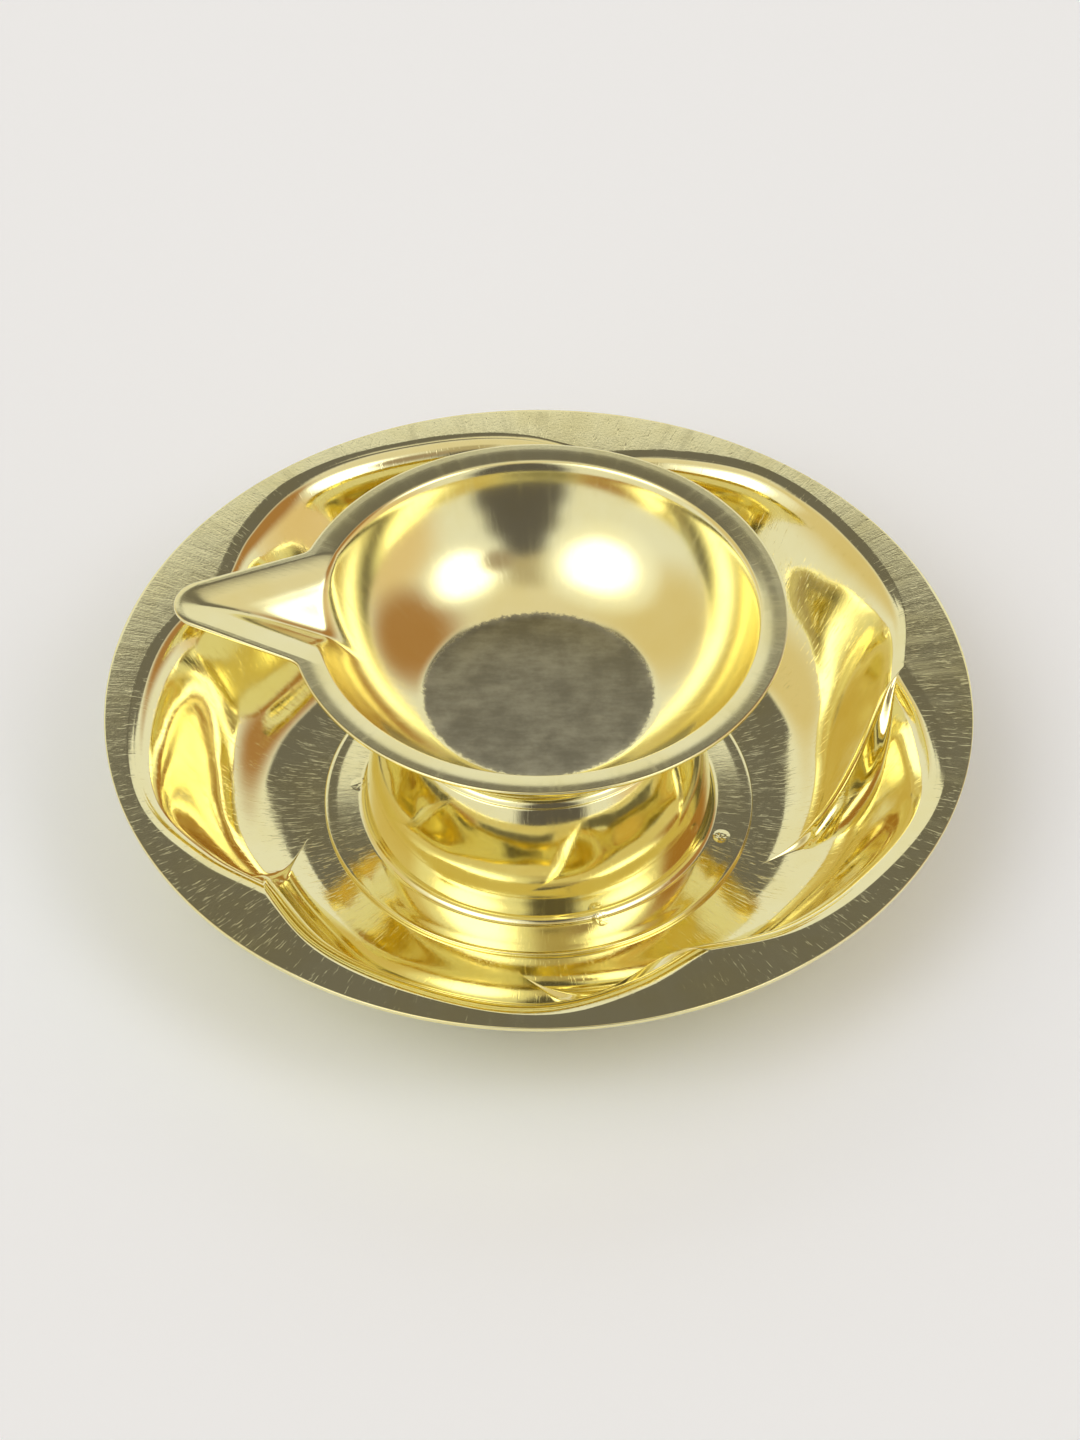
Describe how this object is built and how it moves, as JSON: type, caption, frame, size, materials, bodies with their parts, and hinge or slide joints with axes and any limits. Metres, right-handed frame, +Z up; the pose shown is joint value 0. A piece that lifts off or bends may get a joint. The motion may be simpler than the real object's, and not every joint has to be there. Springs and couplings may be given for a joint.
{
  "type": "diya oil lamp",
  "caption": "Polished sheet-brass oil lamp: a round bowl with a pointed wick spout, on a flared stand fixed to a wide swirl-pressed drip plate.",
  "frame": {"origin": "centre of the plate's underside, where the lamp rests", "axes": "+Z up; -X along the wick spout; +Y towards the back"},
  "size_m": [0.1, 0.1, 0.0309],
  "materials": {
    "plate_brass": "polished pressed sheet, fine hairline scratches",
    "stand_brass": "mirror-polished spun sheet",
    "bowl_brass": "polished, with a dull tarnished floor",
    "solder": "dull tin solder"
  },
  "bodies": {
    "root": {"plate": "plate_brass", "stand": "stand_brass", "solder_joint": "solder", "bowl": "bowl_brass"}
  },
  "joints": []
}
